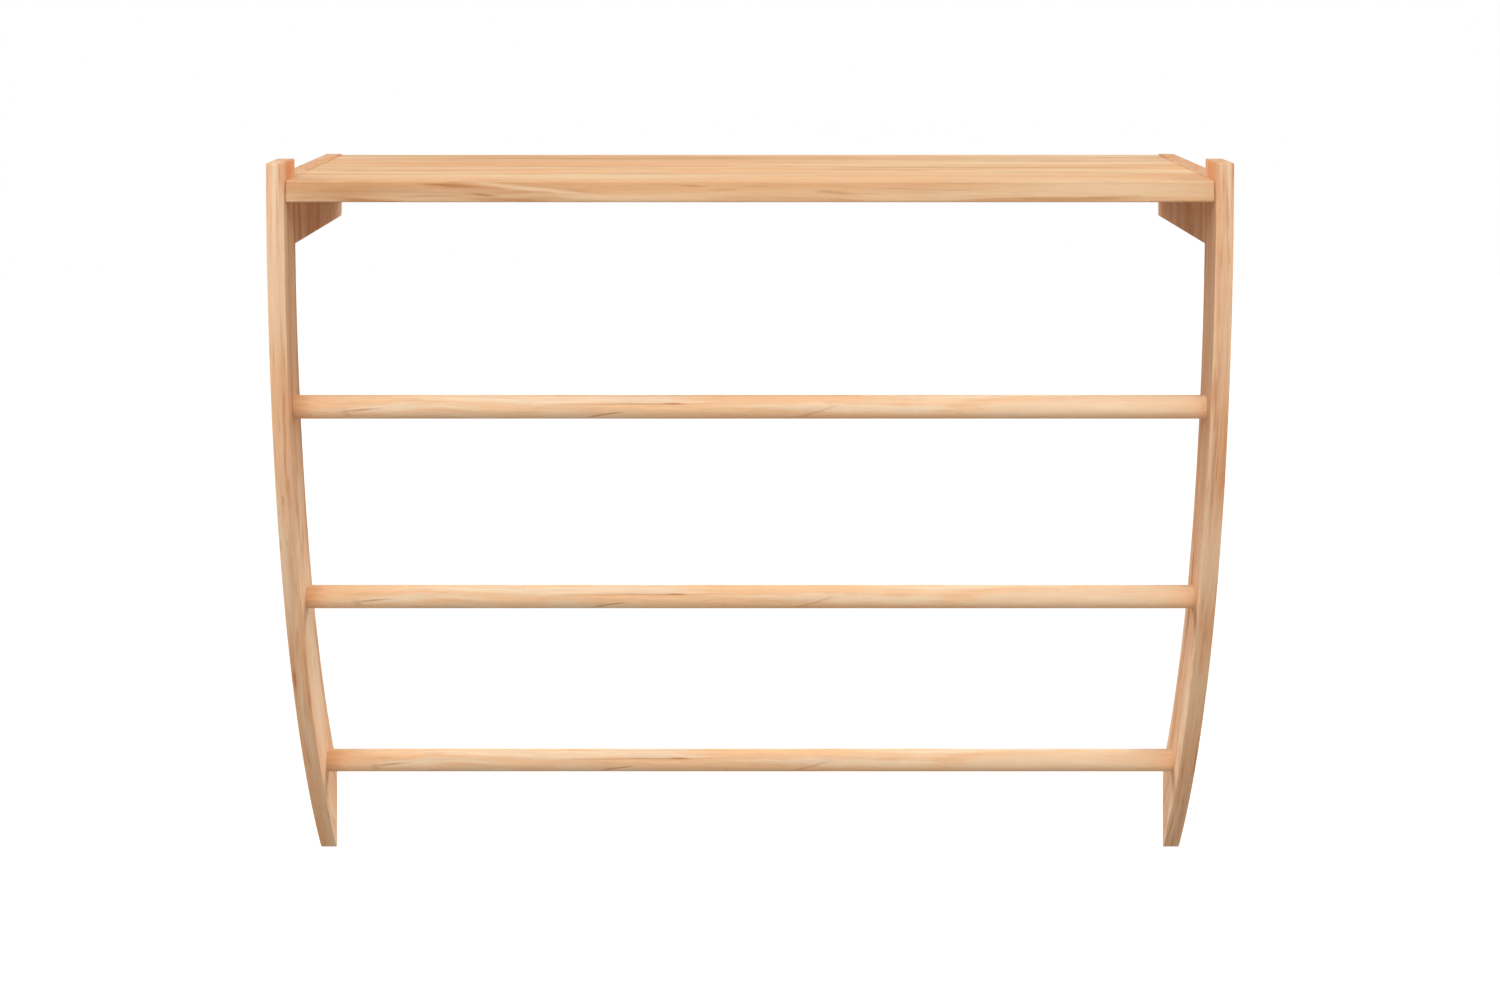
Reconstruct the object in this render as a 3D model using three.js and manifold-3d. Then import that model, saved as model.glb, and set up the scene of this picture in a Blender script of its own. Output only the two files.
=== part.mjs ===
// Wall-hung towel rack in solid wood: two bowed side panels, a shelf board and three round rails.
// Lengths are in millimetres, +Z is up, and the wall is the plane y = 0 with the rack on its -Y side.
// Depths count forward from the wall, and heights count up from the toe of the side panels.
import * as THREE from 'three';
import { mergeVertices } from 'three/addons/utils/BufferGeometryUtils.js';
import Module from 'manifold-3d';

const wasm = await Module();
wasm.setup();

// Driving dimensions of the whole rack
const rackWidth = 800;
const rackHeight = 658;
const sideThickness = 15;
const shelfThickness = 18;
const railDiameter = 20;

// Outline of a side panel: a strip bowed like a drawn bow, with an arm back to the wall
const bowReach = 337;
const bowCentreHeight = 668;
const stripWidth = 57;
const armHeight = 58.5;
const postRise = 14;
const lowerStandOff = 30;
const lowerFlatHeight = 76;
const toeWidth = 2;
const sideEdgeRound = 1;

// Places of the shelf and the rails
const shelfDrop = 1;
const shelfSetback = 7;
const shelfEdgeRound = 1.5;
const topRailHeight = 448;
const middleRailHeight = 272.5;
const lowRailHeight = 96.5;

// Joints
const fitGap = 0.3;
const cutOverrun = 2;
const socketDepth = 4;
const railEndRound = 0.6;

// Wood screws that hold the shelf and the rails, with a wooden plug over each head
const longScrew = { length: 42, shankRadius: 2, headRadius: 3.8, headHeight: 2.2, tipLength: 5 };
const plugRadius = 5;
const plugLength = 2.6;
const shelfScrewInset = 52;

// Loose dowels between the shelf and the side panels
const dowelRadius = 4;
const dowelLength = 30;
const dowelInSide = 9;
const dowelEndChamfer = 0.8;
const shelfDowelInset = 112;

// Slotted hanger plates let into the ends of the arms
const plateWidth = 10;
const plateHeight = 46;
const plateThickness = 2;
const plateCornerRadius = 1.5;
const keyholeRadius = 3.5;
const keyholeSlotRadius = 2.1;
const keyholeSlotRise = 10;
const keyholeDrop = 5;
const headPocketDepth = 7;
const headPocketMargin = 0.5;
const plateScrewInset = 5;
const plateScrew = { length: 16, shankRadius: 1.5, headRadius: 2.7, headHeight: 1.5, tipLength: 3 };
const driverSlotWidth = 0.8;
const driverSlotLengthShare = 0.62;
const driverSlotDepth = 0.9;

// Pegs that hold the lower ends off the wall, with a rubber buffer on each
const pegRadius = 3;
const pegInSide = 20;
const bufferThickness = 2;
const bufferEdgeRound = 0.5;
const bufferStudRadius = 1.2;
const bufferStudLength = 4;

// Facets
const arcStep = 22;
const roundSteps = 2;
const railSides = 32;
const holeSides = 16;
const smallSides = 12;

// Heights and widths that follow from the driving dimensions
const clearWidth = rackWidth - 2 * sideThickness;
const armTop = rackHeight - postRise;
const armBottom = armTop - armHeight;
const armMiddle = (armTop + armBottom) / 2;
const shelfDepth = bowReach - shelfSetback;
const shelfTop = armTop - shelfDrop;
const shelfMiddle = shelfTop - shelfThickness / 2;
const sideCentreX = (rackWidth - sideThickness) / 2;
const pegHeight = lowerFlatHeight / 2;

const rails = [
  { name: 'top', height: topRailHeight },
  { name: 'middle', height: middleRailHeight },
  { name: 'low', height: lowRailHeight },
];
const sides = [
  { name: 'left', sign: -1 },
  { name: 'right', sign: 1 },
];
const shelfEnds = [
  { name: 'front', screwDepth: shelfDepth - shelfScrewInset, dowelDepth: shelfDepth - shelfDowelInset },
  { name: 'back', screwDepth: shelfScrewInset, dowelDepth: shelfDowelInset },
];
const plateEnds = [
  { name: 'upper', sign: 1 },
  { name: 'lower', sign: -1 },
];

const finishes = {
  sideWood: { color: 0xd9b48e, roughness: 0.55, metalness: 0 },
  shelfWood: { color: 0xdcb48a, roughness: 0.5, metalness: 0 },
  railWood: { color: 0xdfb98f, roughness: 0.5, metalness: 0 },
  plugWood: { color: 0xd2a87e, roughness: 0.55, metalness: 0 },
  dowelWood: { color: 0xe0c49c, roughness: 0.7, metalness: 0 },
  screwSteel: { color: 0xb9b4a6, roughness: 0.35, metalness: 1 },
  plateSteel: { color: 0xc4c6c8, roughness: 0.4, metalness: 1 },
  rubber: { color: 0x2b2a29, roughness: 0.85, metalness: 0 },
};

// A bow is an arc whose furthest point from the wall lies at bowCentreHeight
function bowThrough(reach, depth, height) {
  const run = reach - depth;
  const rise = bowCentreHeight - height;
  const radius = (run ** 2 + rise ** 2) / (2 * run);
  return { radius, centreDepth: reach - radius };
}

const frontBow = bowThrough(bowReach, lowerStandOff + toeWidth, 0);
const backBow = bowThrough(bowReach - stripWidth, lowerStandOff, lowerFlatHeight);

function bowDepth(bow, height) {
  return bow.centreDepth + Math.sqrt(bow.radius ** 2 - (height - bowCentreHeight) ** 2);
}

// Points along a bow from one height to another, in steps of about arcStep
function bowPoints(bow, fromHeight, toHeight) {
  const from = Math.asin((fromHeight - bowCentreHeight) / bow.radius);
  const to = Math.asin((toHeight - bowCentreHeight) / bow.radius);
  const steps = Math.max(1, Math.ceil((Math.abs(to - from) * bow.radius) / arcStep));
  const points = [];
  for (let i = 0; i <= steps; i += 1) {
    const angle = THREE.MathUtils.lerp(from, to, i / steps);
    const depth = bow.centreDepth + bow.radius * Math.cos(angle);
    points.push(new THREE.Vector2(depth, bowCentreHeight + bow.radius * Math.sin(angle)));
  }
  return points;
}

// Rails lie midway between the front and back edges of the bowed strip
function railDepth(height) {
  return (bowDepth(frontBow, height) + bowDepth(backBow, height)) / 2;
}

// A closed three.js geometry as a solid, and a solid as a geometry again
function solidOf(geometry) {
  const bare = geometry.clone();
  bare.deleteAttribute('normal');
  bare.deleteAttribute('uv');
  const merged = mergeVertices(bare);
  const vertProperties = new Float32Array(merged.attributes.position.array);
  const triVerts = new Uint32Array(merged.index.array);
  return new wasm.Manifold(new wasm.Mesh({ numProp: 3, vertProperties, triVerts }));
}

function geometryOf(solid) {
  const mesh = solid.getMesh();
  const geometry = new THREE.BufferGeometry();
  geometry.setAttribute('position', new THREE.BufferAttribute(mesh.vertProperties, 3));
  geometry.setIndex(new THREE.BufferAttribute(mesh.triVerts, 1));
  return geometry;
}

function cut(geometry, cutters) {
  let solid = solidOf(geometry);
  for (const cutter of cutters) solid = solid.subtract(solidOf(cutter));
  return geometryOf(solid);
}

// A mesh whose geometry, given in the rack's frame, is moved to hang on its own reference point
function pieceAt(name, geometry, finish, x, depth, height) {
  const shown = geometry.index ? geometry.toNonIndexed() : geometry;
  shown.translate(-x, depth, -height);
  shown.computeVertexNormals();
  const mesh = new THREE.Mesh(shown, new THREE.MeshStandardMaterial(finishes[finish]));
  mesh.name = name;
  mesh.position.set(x, -depth, height);
  return mesh;
}

// Shapes drawn with depth to the right and height up are extruded along the width of the rack
function extrudeAcross(shape, width, edgeRound) {
  const geometry = new THREE.ExtrudeGeometry(shape, {
    depth: width - 2 * edgeRound,
    steps: 1,
    bevelEnabled: edgeRound > 0,
    bevelThickness: edgeRound,
    bevelSize: edgeRound,
    bevelOffset: -edgeRound,
    bevelSegments: roundSteps,
  });
  geometry.translate(0, 0, edgeRound - width / 2);
  geometry.rotateX(Math.PI / 2);
  geometry.rotateZ(-Math.PI / 2);
  return geometry;
}

// A turned profile, whose points are (radius, distance along the axis), on its own axis
function turned(profile, sidesRound) {
  const points = profile.map(([radius, along]) => new THREE.Vector2(radius, along));
  return new THREE.LatheGeometry(points, sidesRound);
}

// Turned shapes stand on +Y: these lay them so that +Y faces out of the rack's side or into the wall
function facingSide(geometry, sign, x, depth, height) {
  geometry.rotateZ((-sign * Math.PI) / 2);
  geometry.translate(x, -depth, height);
  return geometry;
}

function facingWall(geometry, x, depth, height) {
  geometry.translate(x, -depth, height);
  return geometry;
}

// Countersunk wood screw with its head's flat top at zero; grown, it is the hole for itself
function screwProfile(screw, grow) {
  const shank = screw.shankRadius + grow;
  return [
    [0, -(screw.length + grow)],
    [shank, -(screw.length - screw.tipLength + grow)],
    [shank, -(screw.headHeight + grow)],
    [screw.headRadius + grow, 0],
  ];
}

function screwGeometry(screw) {
  return turned([...screwProfile(screw, 0), [0, 0]], smallSides);
}

// Hole for a screw whose head lies sunk by the given depth under a round bore
function screwHole(screw, sunk, boreRadius) {
  const profile = screwProfile(screw, fitGap);
  profile.push([boreRadius, 0], [boreRadius, sunk + cutOverrun], [0, sunk + cutOverrun]);
  return turned(profile, holeSides);
}

// Screw heads lie under their plugs, and dowels reach a set way into the side panels
const screwSink = plugLength + fitGap;
const screwHeadX = rackWidth / 2 - screwSink;
const dowelOuterX = clearWidth / 2 + dowelInSide;

function plugBore(sign, depth, height) {
  const hole = screwHole(longScrew, screwSink, plugRadius + fitGap);
  return facingSide(hole, sign, sign * screwHeadX, depth, height);
}

function dowelProfile(grow) {
  const radius = dowelRadius + grow;
  const chamfered = radius - dowelEndChamfer;
  const length = dowelLength + grow;
  return [
    [0, -length],
    [chamfered, -length],
    [radius, dowelEndChamfer - length],
    [radius, grow - dowelEndChamfer],
    [chamfered, grow],
    [0, grow],
  ];
}

function dowelAt(sign, depth, grow) {
  return facingSide(turned(dowelProfile(grow), holeSides), sign, sign * dowelOuterX, depth, shelfMiddle);
}

// Rail: a round bar with eased ends, seated in a shallow socket at each side
const railRadius = railDiameter / 2;
const railHalfLength = clearWidth / 2 + socketDepth - fitGap;

function railBody() {
  const profile = [
    [0, -railHalfLength],
    [railRadius - railEndRound, -railHalfLength],
    [railRadius, railEndRound - railHalfLength],
    [railRadius, railHalfLength - railEndRound],
    [railRadius - railEndRound, railHalfLength],
    [0, railHalfLength],
  ];
  return turned(profile, railSides);
}

function railPiece(rail) {
  const depth = railDepth(rail.height);
  const body = facingSide(railBody(), 1, 0, depth, rail.height);
  const holes = sides.map((side) => plugBore(side.sign, depth, rail.height));
  return pieceAt(`rail_${rail.name}`, cut(body, holes), 'railWood', 0, depth, rail.height);
}

function railSocket(sign, rail) {
  const reach = socketDepth + cutOverrun;
  const socket = new THREE.CylinderGeometry(railRadius + fitGap, railRadius + fitGap, reach, railSides);
  const x = sign * (clearWidth / 2 + socketDepth - reach / 2);
  return facingSide(socket, 1, x, railDepth(rail.height), rail.height);
}

// Shelf: one board between the side panels, its long edges rounded, flush with the wall at the back
function roundedRectangle(left, bottom, right, top, radius) {
  const shape = new THREE.Shape();
  shape.absarc(right - radius, bottom + radius, radius, -Math.PI / 2, 0);
  shape.absarc(right - radius, top - radius, radius, 0, Math.PI / 2);
  shape.absarc(left + radius, top - radius, radius, Math.PI / 2, Math.PI);
  shape.absarc(left + radius, bottom + radius, radius, Math.PI, 1.5 * Math.PI);
  return new THREE.Shape(shape.getPoints(roundSteps).slice(0, -1));
}

function shelfPiece() {
  const bottom = shelfTop - shelfThickness;
  const section = roundedRectangle(0, bottom, shelfDepth, shelfTop, shelfEdgeRound);
  const board = extrudeAcross(section, clearWidth - 2 * fitGap, 0);
  const holes = [];
  for (const side of sides) {
    for (const end of shelfEnds) {
      holes.push(plugBore(side.sign, end.screwDepth, shelfMiddle));
      holes.push(dowelAt(side.sign, end.dowelDepth, fitGap));
    }
  }
  return pieceAt('shelf_board', cut(board, holes), 'shelfWood', 0, 0, shelfMiddle);
}

// Hanger plate: a steel strip with a keyhole slot, screwed into a recess in the end of the arm
const platePocketDepth = plateThickness + fitGap;
const plateScrewRise = plateHeight / 2 - plateScrewInset;

function plateBlock(grow, thickness) {
  const halfWidth = plateWidth / 2 + grow;
  const halfHeight = plateHeight / 2 + grow;
  const outline = roundedRectangle(-halfWidth, -halfHeight, halfWidth, halfHeight, plateCornerRadius);
  return new THREE.ExtrudeGeometry(outline, { depth: thickness, steps: 1, bevelEnabled: false });
}

// A keyhole or its pocket, cut from the plane z = 0 down to the given depth
function keyholeBlocks(roundRadius, slotRadius, from, depth) {
  const slotTop = keyholeSlotRise - keyholeDrop;
  const round = new THREE.CylinderGeometry(roundRadius, roundRadius, depth, holeSides);
  const slotEnd = new THREE.CylinderGeometry(slotRadius, slotRadius, depth, holeSides);
  const slot = new THREE.BoxGeometry(2 * slotRadius, keyholeSlotRise, depth);
  const middle = from + depth / 2;
  round.rotateX(Math.PI / 2).translate(0, -keyholeDrop, middle);
  slotEnd.rotateX(Math.PI / 2).translate(0, slotTop, middle);
  slot.translate(0, slotTop - keyholeSlotRise / 2, middle);
  return [round, slotEnd, slot];
}

// Plates are drawn lying flat, face up, and stood against the arm's end with their face to the wall
function standAtWall(geometry, sign, depth) {
  geometry.rotateX(-Math.PI / 2);
  geometry.rotateY(Math.PI);
  geometry.translate(sign * sideCentreX, -depth, armMiddle);
  return geometry;
}

function plateScrewHole(sign, end) {
  const height = armMiddle + end.sign * plateScrewRise;
  const hole = screwHole(plateScrew, 0, plateScrew.headRadius + fitGap);
  return facingWall(hole, sign * sideCentreX, 0, height);
}

function platePiece(side) {
  const x = side.sign * sideCentreX;
  const blank = standAtWall(plateBlock(0, plateThickness), side.sign, plateThickness);
  const through = plateThickness + 2 * cutOverrun;
  const keyhole = keyholeBlocks(keyholeRadius, keyholeSlotRadius, -cutOverrun, through);
  const holes = keyhole.map((block) => standAtWall(block, side.sign, plateThickness));
  for (const end of plateEnds) holes.push(plateScrewHole(side.sign, end));
  return pieceAt(`hanger_plate_${side.name}`, cut(blank, holes), 'plateSteel', x, 0, armMiddle);
}

function plateRecess(sign) {
  const seat = standAtWall(plateBlock(fitGap, platePocketDepth + cutOverrun), sign, platePocketDepth);
  const pocketRadius = keyholeRadius + headPocketMargin;
  const pocketFloor = platePocketDepth + headPocketDepth;
  const pocket = keyholeBlocks(pocketRadius, pocketRadius, 0, headPocketDepth + cutOverrun);
  const placed = pocket.map((block) => standAtWall(block, sign, pocketFloor));
  return [seat, ...placed];
}

function plateScrewPiece(side, end) {
  const x = side.sign * sideCentreX;
  const height = armMiddle + end.sign * plateScrewRise;
  const screw = facingWall(screwGeometry(plateScrew), x, 0, height);
  const slotLength = 2 * plateScrew.headRadius * driverSlotLengthShare;
  const reach = driverSlotDepth + cutOverrun;
  const y = reach / 2 - driverSlotDepth;
  const upright = new THREE.BoxGeometry(driverSlotWidth, reach, slotLength).translate(x, y, height);
  const level = new THREE.BoxGeometry(slotLength, reach, driverSlotWidth).translate(x, y, height);
  const name = `hanger_screw_${end.name}_${side.name}`;
  return pieceAt(name, cut(screw, [upright, level]), 'screwSteel', x, 0, height);
}

// Peg and buffer that keep the lower end of a side panel off the wall
const pegOuterDepth = bufferThickness + fitGap;
const pegInnerDepth = lowerStandOff + pegInSide;

function pegBar(grow) {
  const half = (pegInnerDepth - pegOuterDepth) / 2 + grow;
  return turned([[0, -half], [pegRadius + grow, -half], [pegRadius + grow, half], [0, half]], holeSides);
}

function pegAt(sign, grow) {
  const depth = (pegInnerDepth + pegOuterDepth) / 2;
  return facingWall(pegBar(grow), sign * sideCentreX, depth, pegHeight);
}

function bufferGeometry(grow) {
  const studEnd = bufferThickness + bufferStudLength + grow;
  const stud = bufferStudRadius + grow;
  const face = pegRadius - bufferEdgeRound;
  const profile = [
    [0, -studEnd],
    [stud, -studEnd],
    [stud, -bufferThickness],
    [pegRadius, -bufferThickness],
    [pegRadius, -bufferEdgeRound],
    [face, 0],
    [0, 0],
  ];
  return turned(profile, holeSides);
}

function pegPiece(side) {
  const x = side.sign * sideCentreX;
  const studHole = facingWall(bufferGeometry(fitGap), x, 0, pegHeight);
  const peg = cut(pegAt(side.sign, 0), [studHole]);
  return pieceAt(`wall_peg_${side.name}`, peg, 'dowelWood', x, lowerStandOff, pegHeight);
}

function bufferPiece(side) {
  const x = side.sign * sideCentreX;
  const pad = facingWall(bufferGeometry(0), x, 0, pegHeight);
  return pieceAt(`wall_buffer_${side.name}`, pad, 'rubber', x, 0, pegHeight);
}

// Side panel: one flat board cut to the bowed outline, with its joints bored from both faces
function sideOutline() {
  const points = [
    new THREE.Vector2(lowerStandOff, 0),
    ...bowPoints(frontBow, 0, rackHeight),
    ...bowPoints(backBow, rackHeight, armTop),
    new THREE.Vector2(0, armTop),
    new THREE.Vector2(0, armBottom),
    ...bowPoints(backBow, armBottom, lowerFlatHeight),
  ];
  return new THREE.Shape(points);
}

function sidePiece(side) {
  const x = side.sign * sideCentreX;
  const board = extrudeAcross(sideOutline(), sideThickness, sideEdgeRound).translate(x, 0, 0);
  const holes = [...plateRecess(side.sign), pegAt(side.sign, fitGap)];
  for (const rail of rails) {
    holes.push(railSocket(side.sign, rail));
    holes.push(plugBore(side.sign, railDepth(rail.height), rail.height));
  }
  for (const end of shelfEnds) {
    holes.push(plugBore(side.sign, end.screwDepth, shelfMiddle));
    holes.push(dowelAt(side.sign, end.dowelDepth, fitGap));
  }
  for (const end of plateEnds) holes.push(plateScrewHole(side.sign, end));
  return pieceAt(`side_panel_${side.name}`, cut(board, holes), 'sideWood', x, 0, 0);
}

// Screw, plug and dowel pieces
function longScrewPiece(name, sign, depth, height) {
  const x = sign * screwHeadX;
  const screw = facingSide(screwGeometry(longScrew), sign, x, depth, height);
  return pieceAt(name, screw, 'screwSteel', x, depth, height);
}

function plugPiece(name, sign, depth, height) {
  const x = (sign * rackWidth) / 2;
  const disc = turned([[0, -plugLength], [plugRadius, -plugLength], [plugRadius, 0], [0, 0]], holeSides);
  return pieceAt(name, facingSide(disc, sign, x, depth, height), 'plugWood', x, depth, height);
}

function dowelPiece(side, end) {
  const name = `shelf_dowel_${end.name}_${side.name}`;
  const dowel = dowelAt(side.sign, end.dowelDepth, 0);
  return pieceAt(name, dowel, 'dowelWood', side.sign * dowelOuterX, end.dowelDepth, shelfMiddle);
}

// The rack hangs on the wall, so its frame starts at the middle of the shelf's back edge
const rack = new THREE.Group();
rack.position.z = -shelfMiddle;
rack.add(shelfPiece());
for (const rail of rails) rack.add(railPiece(rail));
for (const side of sides) {
  rack.add(sidePiece(side), platePiece(side), pegPiece(side), bufferPiece(side));
  for (const end of plateEnds) rack.add(plateScrewPiece(side, end));
  for (const rail of rails) {
    const depth = railDepth(rail.height);
    const tail = `${rail.name}_${side.name}`;
    rack.add(longScrewPiece(`rail_screw_${tail}`, side.sign, depth, rail.height));
    rack.add(plugPiece(`rail_plug_${tail}`, side.sign, depth, rail.height));
  }
  for (const end of shelfEnds) {
    const tail = `${end.name}_${side.name}`;
    rack.add(longScrewPiece(`shelf_screw_${tail}`, side.sign, end.screwDepth, shelfMiddle));
    rack.add(plugPiece(`shelf_plug_${tail}`, side.sign, end.screwDepth, shelfMiddle));
    rack.add(dowelPiece(side, end));
  }
}

const towelRack = new THREE.Group();
towelRack.add(rack);

export default towelRack;
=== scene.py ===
from math import asin, cos, pi, radians, sin, tan, tau
import bmesh
import bpy
from mathutils import Matrix, Vector


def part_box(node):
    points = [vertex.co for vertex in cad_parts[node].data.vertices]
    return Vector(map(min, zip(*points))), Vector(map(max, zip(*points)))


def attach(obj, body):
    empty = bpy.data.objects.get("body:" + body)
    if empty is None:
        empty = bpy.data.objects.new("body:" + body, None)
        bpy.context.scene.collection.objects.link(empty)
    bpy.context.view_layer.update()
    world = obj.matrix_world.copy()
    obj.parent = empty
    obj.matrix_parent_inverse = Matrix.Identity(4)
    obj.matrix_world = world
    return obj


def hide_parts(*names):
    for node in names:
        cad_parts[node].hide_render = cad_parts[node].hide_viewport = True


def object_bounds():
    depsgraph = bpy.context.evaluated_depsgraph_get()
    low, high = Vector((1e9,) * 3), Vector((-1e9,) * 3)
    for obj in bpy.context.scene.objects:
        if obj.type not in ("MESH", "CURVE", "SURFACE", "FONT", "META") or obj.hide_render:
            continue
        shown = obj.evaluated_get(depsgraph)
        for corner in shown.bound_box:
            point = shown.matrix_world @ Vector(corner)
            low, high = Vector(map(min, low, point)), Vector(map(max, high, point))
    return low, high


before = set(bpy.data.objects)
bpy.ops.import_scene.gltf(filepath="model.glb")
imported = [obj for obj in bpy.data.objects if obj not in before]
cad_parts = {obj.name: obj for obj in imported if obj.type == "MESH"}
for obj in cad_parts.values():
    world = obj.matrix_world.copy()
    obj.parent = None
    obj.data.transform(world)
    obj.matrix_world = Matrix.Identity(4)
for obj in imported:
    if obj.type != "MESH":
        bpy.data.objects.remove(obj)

cad_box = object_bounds()

# Camera. The photograph looks level and square at the rack from a little above its shelf, with
# the lens shifted down, so upright edges stay parallel. Heights are above the shelf's middle.
picture_width = 1500
picture_height = 1000
horizon_row = -30.95
wall_pixels_per_metre = 1059.9
wall_distance = 2.70
eye_height = 0.1842
sensor_width = 36.0


def put(name, data):
    made = bpy.data.objects.new(name, data)
    bpy.context.scene.collection.objects.link(made)
    return made


camera = put("camera", bpy.data.cameras.new("camera"))
camera.data.sensor_width = sensor_width
camera.data.lens = sensor_width * wall_pixels_per_metre * wall_distance / picture_width
camera.data.shift_y = (horizon_row - picture_height / 2) / picture_width
camera.location = (0, -wall_distance, eye_height)
camera.rotation_euler = (pi / 2, 0, 0)
bpy.context.scene.camera = camera
bpy.context.scene.view_settings.view_transform = "Standard"


# Studio. A soft dome over the rack, softboxes above and below the camera and two at each side, and
# a pale floor well below the rack, which hangs clear of it.
def fill(node, inputs):
    """Set a node's inputs, or link those whose value is another node's output."""
    for name, value in dict(inputs).items():
        if isinstance(value, bpy.types.NodeSocket):
            node.id_data.links.new(value, node.inputs[name])
        else:
            node.inputs[name].default_value = value


def add(tree, kind, inputs=(), **settings):
    """Adds a node, set up and filled in, and gives its outputs."""
    node = tree.nodes.new(kind)
    for name, value in settings.items():
        setattr(node, name, value)
    fill(node, inputs)
    return node.outputs


def tree_of(*values):
    """The tree of the first node output among some values."""
    return next(value.id_data for value in values if isinstance(value, bpy.types.NodeSocket))


def maths(operation, *values):
    return add(tree_of(*values), "ShaderNodeMath", enumerate(values), operation=operation)[0]


def times(first, second):
    return maths("MULTIPLY", first, second)


def parts(vector):
    return add(vector.id_data, "ShaderNodeSeparateXYZ", {0: vector})


def ramp(value, low, high, to_low=0.0, to_high=1.0, kind="SMOOTHSTEP"):
    ends = {"Value": value, "From Min": low, "From Max": high, "To Min": to_low, "To Max": to_high}
    return add(value.id_data, "ShaderNodeMapRange", ends, interpolation_type=kind)["Result"]


def seen_rays(tree):
    """One for a ray from the camera, off gloss or through glass, and zero for light on a surface."""
    path = add(tree, "ShaderNodeLightPath")
    seen = maths("MAXIMUM", path["Is Camera Ray"], path["Is Glossy Ray"])
    return maths("MAXIMUM", seen, path["Is Transmission Ray"])


def new_material(name):
    material = bpy.data.materials.new(name)
    material.use_nodes = True
    material.node_tree.nodes.clear()
    return material, material.node_tree


def coat(tree, inputs):
    add(tree, "ShaderNodeOutputMaterial", {"Surface": add(tree, "ShaderNodeBsdfPrincipled", inputs)[0]})


white = (1, 1, 1, 1)
dome_strength = 0.48
dome_tint = (1.03, 0.97, 0.87, 1)
dome_foot, dome_shoulder = -0.2, 0.3
world = bpy.data.worlds.new("studio")
bpy.context.scene.world = world
world.use_nodes = True
dome = world.node_tree
dome.nodes.clear()
way_up = parts(add(dome, "ShaderNodeTexCoord")["Generated"])["Z"]
strength = ramp(way_up, dome_foot, dome_shoulder, 0.0, dome_strength)
lit = add(dome, "ShaderNodeBackground", {"Color": dome_tint, "Strength": strength})[0]
shown = add(dome, "ShaderNodeBackground", {"Color": white, "Strength": 1.0})[0]
sky = add(dome, "ShaderNodeMixShader", {0: seen_rays(dome), 1: lit, 2: shown})[0]
add(dome, "ShaderNodeOutputWorld", {"Surface": sky})

side_power, side_tint = 29, (1.0, 1.0, 1.0)
warm_power, warm_tint = 6, (1.0, 0.85, 0.7)
softboxes = {
    "high": ((0, -2.4, 1.7), (2.4, 1.2), 48, (0.98, 1.0, 1.05)),
    "low": ((0, -2.4, -0.9), (2.4, 1.0), 8.2, (1.1, 1.0, 0.92)),
    "left": ((-2.3, 0.5, 0.6), (1.0, 0.8), side_power, side_tint),
    "right": ((2.3, 0.5, 0.6), (1.0, 0.8), side_power, side_tint),
    "front left": ((-2.3, -0.9, 0.55), (1.4, 1.0), warm_power, warm_tint),
    "front right": ((2.3, -0.9, 0.55), (1.4, 1.0), warm_power, warm_tint),
}
aim = Vector((0, -0.17, -0.3))
for name, (place, size, power, tint) in softboxes.items():
    lamp = put(f"softbox {name}", bpy.data.lights.new(f"softbox {name}", "AREA"))
    lamp.data.shape = "RECTANGLE"
    lamp.data.size, lamp.data.size_y = size
    lamp.data.energy = power
    lamp.data.color = tint
    lamp.location = place
    lamp.rotation_euler = (aim - lamp.location).to_track_quat("-Z", "Y").to_euler()

floor_drop = 1.1
floor_size = 30.0
floor_glow = 0.9
floor_roughness = 0.9
floor_colour = (0.35, 0.32, 0.29, 1)
floor_shape = bmesh.new()
bmesh.ops.create_grid(floor_shape, x_segments=1, y_segments=1, size=floor_size / 2)
floor_mesh = bpy.data.meshes.new("floor")
floor_shape.to_mesh(floor_mesh)
floor_shape.free()
floor = put("floor", floor_mesh)
floor.location = (0, 0, cad_box[0][2] - floor_drop)
pale, pale_tree = new_material("pale floor")
coat(pale_tree, {
    "Base Color": floor_colour,
    "Roughness": floor_roughness,
    "Emission Color": white,
    "Emission Strength": times(seen_rays(pale_tree), floor_glow),
})
floor_mesh.materials.append(pale)


# Side panels. Each is one flat board of a pinkish-tan hardwood with a thin satin oil finish: a
# strip bowed towards the room, an arm back to the wall at the top, and a short post above the
# shelf. The grain follows the bow. It is sawn to shape, eased at every arris and bored for its joints.
def new_group(name, kind, takes, gives):
    """A node group that takes inputs of each kind of socket, with their values if not wired."""
    tree = bpy.data.node_groups.new(name, kind)
    for socket, inputs in takes.items():
        for label, value in inputs.items():
            made = tree.interface.new_socket(label, in_out="INPUT", socket_type="NodeSocket" + socket)
            if value is not None:
                made.default_value = value
    for label, socket in gives.items():
        tree.interface.new_socket(label, in_out="OUTPUT", socket_type="NodeSocket" + socket)
    return tree, tree.nodes.new("NodeGroupInput").outputs, tree.nodes.new("NodeGroupOutput")


def minus(first, second):
    return maths("SUBTRACT", first, second)


def plus_times(first, second, third):
    """The third value with the product of the first two added."""
    return maths("MULTIPLY_ADD", first, second, third)


def vectors(operation, *values):
    return add(tree_of(*values), "ShaderNodeVectorMath", enumerate(values), operation=operation)[0]


def measured(operation, *values):
    """A single number taken from vectors, such as a length or a dot product."""
    return add(tree_of(*values), "ShaderNodeVectorMath", enumerate(values), operation=operation)["Value"]


def scaled(vector, factor):
    ends = {0: vector, "Scale": factor}
    return add(vector.id_data, "ShaderNodeVectorMath", ends, operation="SCALE")[0]


def point(x=0.0, y=0.0, z=0.0):
    return add(tree_of(x, y, z), "ShaderNodeCombineXYZ", {"X": x, "Y": y, "Z": z})[0]


def swing(value, middle, weight, onto):
    """What a value does either side of its middle, weighed and added onto another."""
    return plus_times(minus(value, middle), weight, onto)


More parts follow.
